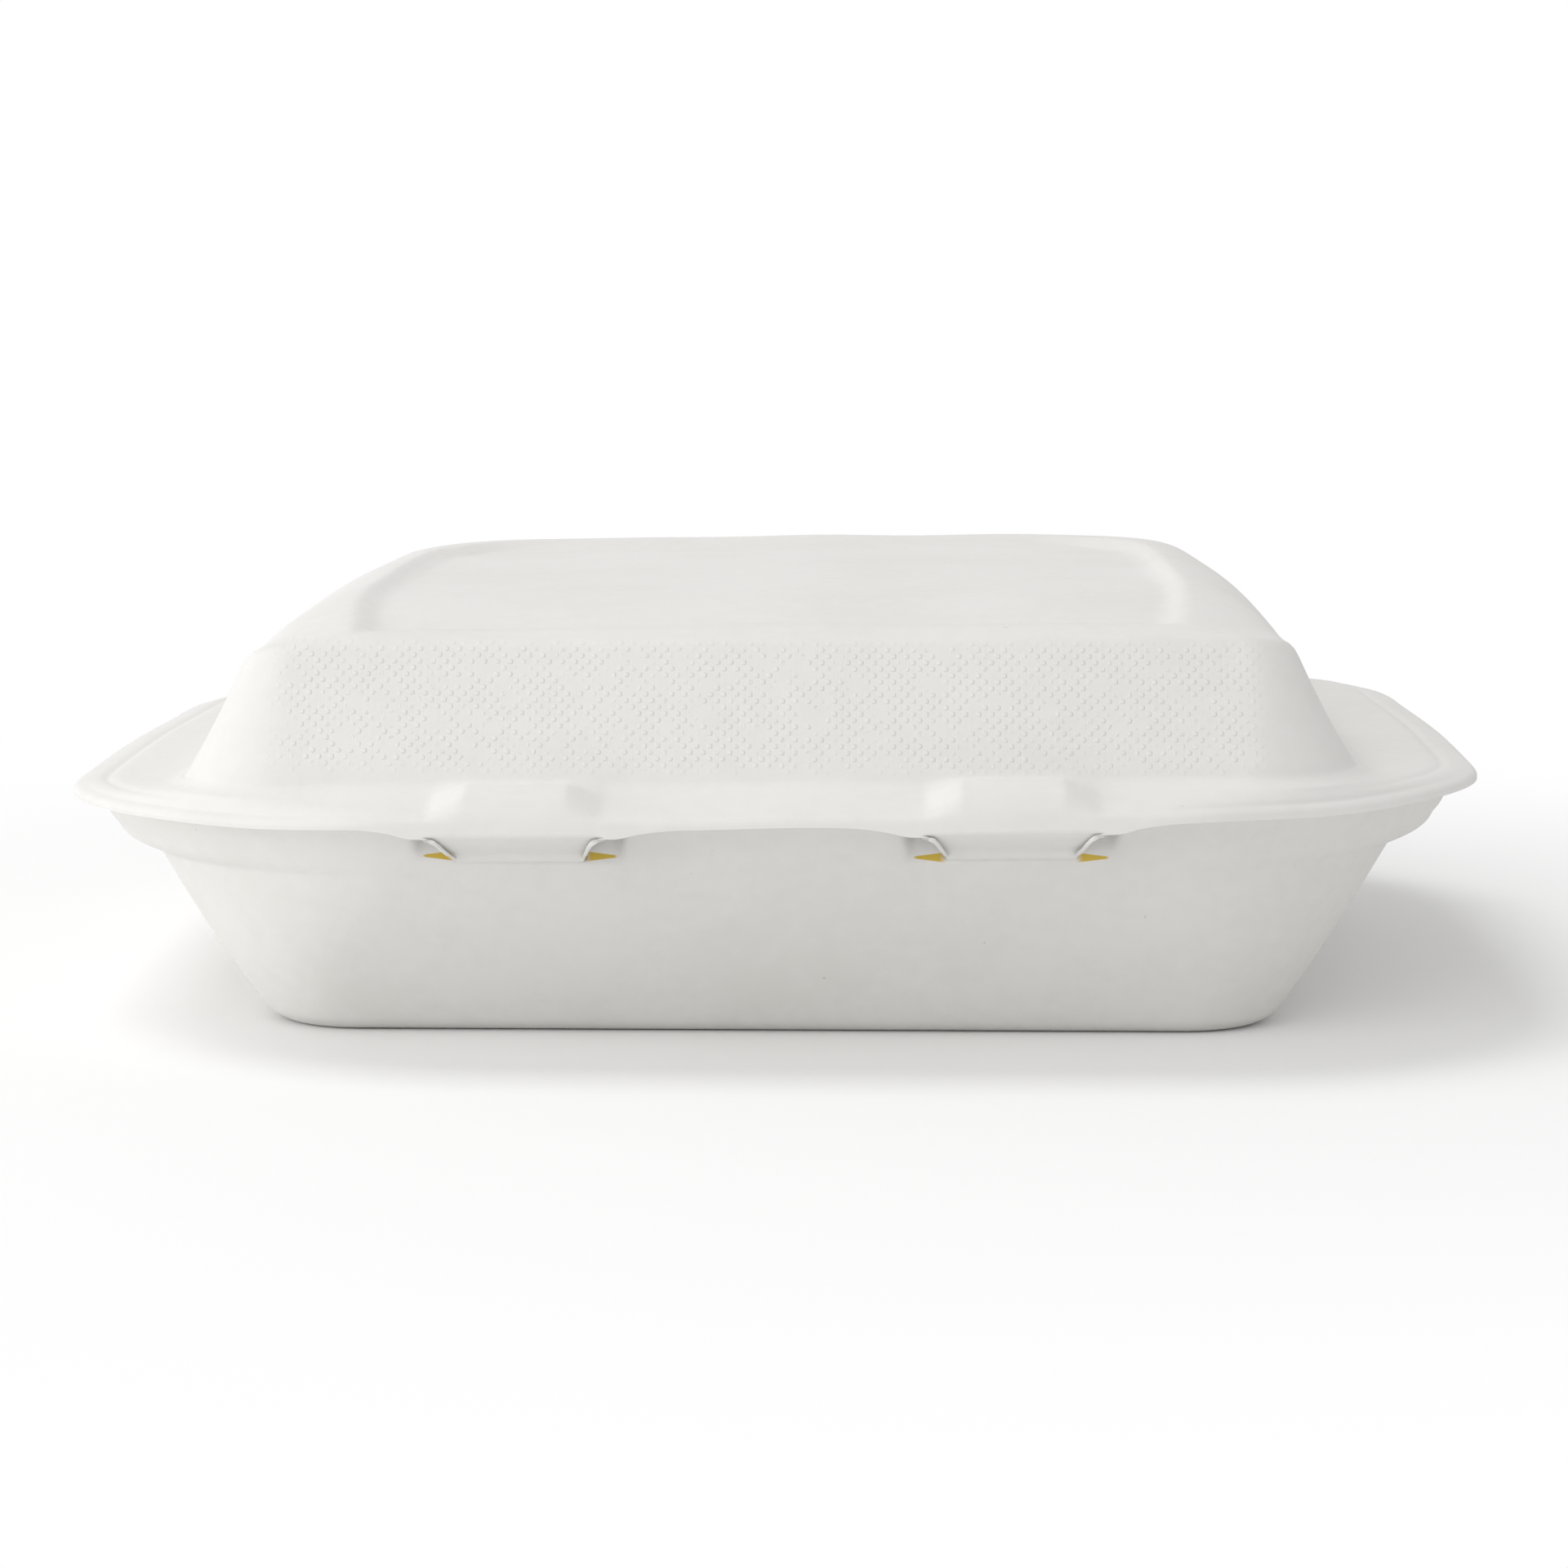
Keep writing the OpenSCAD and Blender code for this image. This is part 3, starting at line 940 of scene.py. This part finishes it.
@dataclass(frozen=True)
class FibreFinish:
    """Uncoated moulded sugar cane fibre: matte, off-white, faintly mottled, with a felt-like face.

    Attributes:
        name: The material's name.
        colour: Its main colour, linear.
        patch: The colour of its slightly duller patches.
        fleck: The colour of the few coarse fibres.
        screen_mark: Whether the lid's front wall carries the fine mark of the forming screen.
    """

    name: str
    colour: tuple[float, float, float]
    patch: tuple[float, float, float]
    fleck: tuple[float, float, float] = (0.50, 0.42, 0.29)
    # Painted shade: the ochre that the slots' open ends show, where one looks into the tray's shaded inside.
    painted_slot_shade: tuple[float, float, float] = (0.62, 0.44, 0.07)
    screen_mark: bool = False

    def material(self, sizes: Sizes) -> bpy.types.Material:
        """Returns the finish as a material.

        Args:
            sizes: The container's sizes, for the marks that have a place on it.

        Returns:
            The new material.
        """
        material = bpy.data.materials.new(self.name)
        material.use_nodes = True
        kit = NodeKit(material.node_tree)
        place = kit.node("ShaderNodeTexCoord").outputs["Object"]
        axes = kit.node("ShaderNodeSeparateXYZ", inputs={0: place})
        x, y, z = (Value(kit, axes.outputs[i]) for i in range(3))

        mottling = kit.value("ShaderNodeTexNoise", inputs={"Vector": place, "Scale": 38.0, "Detail": 3.0})
        cloud = kit.value("ShaderNodeTexNoise", inputs={"Vector": place, "Scale": 330.0, "Detail": 4.0})
        dull = (mottling * 0.6 + cloud * 0.4).step(0.40, 0.64)
        colour = kit.colour(dull, rgba(self.colour), rgba(self.patch))

        coarse = kit.value("ShaderNodeTexNoise",
                           inputs={"Vector": place, "Scale": 620.0, "Detail": 1.0, "Distortion": 0.9})
        colour = kit.colour(coarse.step(0.80, 0.86) * 0.5, colour, rgba(self.fleck))

        # Painted shade: an ochre wedge at each end of both slots, laid on the closed wall beside the window in place
        # of the shaded inside seen through a gap.
        side = (x.absolute() - sizes.tab_x * MM).absolute()
        off = (z - 0.0320).absolute() + side * 0.13
        slot = (off.step(0.00220, 0.00205) * side.step(0.0098, 0.0112) * side.step(0.0152, 0.0146)
                * (y * -1).step(0.0985, 0.1000))
        colour = kit.colour(slot, colour, rgba(self.painted_slot_shade))

        felt = kit.value("ShaderNodeTexNoise",
                         inputs={"Vector": place, "Scale": 1400.0, "Detail": 5.0, "Roughness": 0.62})
        ripple = kit.value("ShaderNodeTexNoise", inputs={"Vector": place, "Scale": 160.0, "Detail": 2.0})
        height = felt * 0.10 + ripple * 0.30
        if self.screen_mark:
            height = height + self.screen(kit, place, x, y, z)
        bump = kit.node("ShaderNodeBump", inputs={"Strength": 0.55, "Distance": 0.0006, "Height": height})
        rough = felt * 0.10 + 0.84
        shader = kit.node("ShaderNodeBsdfPrincipled", inputs={
            "Base Color": colour, "Roughness": rough, "Specular IOR Level": 0.28,
            "Normal": bump.outputs["Normal"], "Sheen Weight": 0.08, "Sheen Roughness": 0.6})
        kit.node("ShaderNodeOutputMaterial", inputs={"Surface": shader.outputs[0]})
        return material

    def screen(self, kit: NodeKit, place: bpy.types.NodeSocket, x: Value, y: Value, z: Value) -> Value:
        """Returns the relief of the forming screen's mark on the lid's front wall."""
        broken = kit.value("ShaderNodeTexNoise", inputs={"Vector": place, "Scale": 420.0, "Detail": 2.0})
        upright = kit.value("ShaderNodeMath", {"operation": "SINE"}, {0: x * 3100.0})
        level = kit.value("ShaderNodeMath", {"operation": "SINE"}, {0: z * 3300.0})
        ticks = (upright * level).step(0.15, 0.75) * broken.step(0.38, 0.54)
        wall = (x.absolute().step(0.080, 0.072) * z.step(0.0435, 0.0475) * z.step(0.0655, 0.0625)
                * (y * -1).step(0.060, 0.075))
        return ticks * wall * 0.36


# ---------------------------------------------------------------- studio

@dataclass(frozen=True)
class Lamp:
    """A soft rectangular lamp aimed at the container. Lengths in metres, power in watts."""

    name: str
    place: tuple[float, float, float]
    size: tuple[float, float]
    power: float
    aim: tuple[float, float, float] = (0.0, 0.0, 0.03)

    def hang(self) -> bpy.types.Object:
        """Adds the lamp and turns it towards its aim."""
        only(None)
        bpy.ops.object.light_add(type="AREA", location=self.place)
        lamp = bpy.context.object
        lamp.name = lamp.data.name = self.name
        lamp.data.shape = "RECTANGLE"
        lamp.data.size, lamp.data.size_y = self.size
        lamp.data.energy = self.power
        lamp.rotation_euler = (Vector(self.aim) - Vector(self.place)).to_track_quat("-Z", "Y").to_euler()
        return lamp


@dataclass(frozen=True)
class Studio:
    """A white sweep with soft light, brightest from the front left.

    The floor shows its shadows near the container and turns plain white further off.
    """

    sky: float = 0.61
    floor_shade: float = 0.98
    glow: float = 0.0
    white_from: float = 0.13
    white_at: float = 0.34
    lamps: tuple[Lamp, ...] = (
        Lamp("key_lamp", (-0.6, 0.1, 1.5), (0.8, 0.8), 7.2),
        Lamp("low_lamp", (-1.3, -0.35, 0.22), (0.9, 0.4), 4.4),
        Lamp("fill_lamp", (-0.6, -1.5, 0.9), (1.2, 0.9), 5.5),
    )

    def build(self) -> None:
        """Adds the floor, the sky and the lamps."""
        only(None)
        bpy.ops.mesh.primitive_plane_add(size=12, location=(0, 0, 0))
        floor = bpy.context.object
        floor.name = floor.data.name = "floor_sweep"
        floor.data.materials.append(self.floor_finish())
        self.set_sky()
        for lamp in self.lamps:
            lamp.hang()
        bpy.context.scene.view_settings.view_transform = "Standard"
        log.info("studio: floor, sky and %d lamps", len(self.lamps))

    def seen_rays(self, kit: NodeKit) -> Value:
        """Returns 1 for the rays that show the background: camera, glossy and transmission rays."""
        path = kit.node("ShaderNodeLightPath")
        seen = [Value(kit, path.outputs[name]) for name in
                ("Is Camera Ray", "Is Glossy Ray", "Is Transmission Ray")]
        total = seen[0] + seen[1] + seen[2]
        return total.step(0.0, 1.0)

    def floor_finish(self) -> bpy.types.Material:
        """Returns the floor's white, which keeps the shadow but never falls to grey."""
        material = bpy.data.materials.new("white_sweep")
        material.use_nodes = True
        kit = NodeKit(material.node_tree)
        seen = self.seen_rays(kit)
        place = kit.node("ShaderNodeTexCoord").outputs["Object"]
        away = kit.value("ShaderNodeVectorMath", {"operation": "LENGTH"}, {0: place}, "Value")
        share = away.step(self.white_from, self.white_at) * (1 - self.glow) + self.glow
        matte = kit.node("ShaderNodeBsdfDiffuse", inputs={"Color": rgba((self.floor_shade,) * 3)})
        white = kit.node("ShaderNodeEmission", inputs={"Color": rgba((1, 1, 1)), "Strength": 1.0})
        both = kit.node("ShaderNodeMixShader",
                        inputs={0: seen * share, 1: matte.outputs[0], 2: white.outputs[0]})
        kit.node("ShaderNodeOutputMaterial", inputs={"Surface": both.outputs[0]})
        return material

    def set_sky(self) -> None:
        """Makes an even sky that is seen as white."""
        world = bpy.data.worlds.new("studio_sky")
        bpy.context.scene.world = world
        world.use_nodes = True
        kit = NodeKit(world.node_tree)
        seen = self.seen_rays(kit)
        light = kit.node("ShaderNodeBackground", inputs={"Color": rgba((1, 1, 1)), "Strength": self.sky})
        white = kit.node("ShaderNodeBackground", inputs={"Color": rgba((1, 1, 1)), "Strength": 1.0})
        both = kit.node("ShaderNodeMixShader", inputs={0: seen, 1: light.outputs[0], 2: white.outputs[0]})
        kit.node("ShaderNodeOutputWorld", inputs={"Surface": both.outputs[0]})


@dataclass(frozen=True)
class Viewpoint:
    """The camera's place, in metres and degrees."""

    place: tuple[float, float, float] = (0.0175, -0.714, 0.1194)
    pitch: float = 7.116
    yaw: float = 1.372
    lens: float = 91.37

    def build(self) -> bpy.types.Object:
        """Adds the camera and makes it the scene's own."""
        only(None)
        turn = (math.radians(90 - self.pitch), 0, math.radians(self.yaw))
        bpy.ops.object.camera_add(location=self.place, rotation=turn)
        camera = bpy.context.object
        camera.name = camera.data.name = "front_camera"
        camera.data.lens = self.lens
        camera.data.sensor_width = 36
        camera.data.clip_start = 0.01
        bpy.context.scene.camera = camera
        return camera


# ---------------------------------------------------------------- all together

def main() -> None:
    """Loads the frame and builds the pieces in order."""
    logging.basicConfig(level=logging.INFO, format="%(name)s: %(message)s")
    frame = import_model()
    log.info("frame: nodes %s", ", ".join(sorted(frame["nodes"])))
    Viewpoint().build()

    sizes = Sizes()
    plan = RingPlan(sizes, Columns())
    warp = Warp()
    tray_fibre = FibreFinish("tray_fibre", (0.780, 0.768, 0.742), (0.757, 0.742, 0.710)).material(sizes)
    lid_fibre = FibreFinish("lid_fibre", (0.790, 0.782, 0.762), (0.770, 0.760, 0.734),
                            screen_mark=True).material(sizes)
    tray = Tray(sizes, plan, warp)
    tray.build(tray_fibre)
    Lid(sizes, plan, warp, tray.recess_y).build(lid_fibre)
    HingeStrip(sizes).build(tray_fibre)
    Studio().build()


if __name__ == "__main__":
    main()
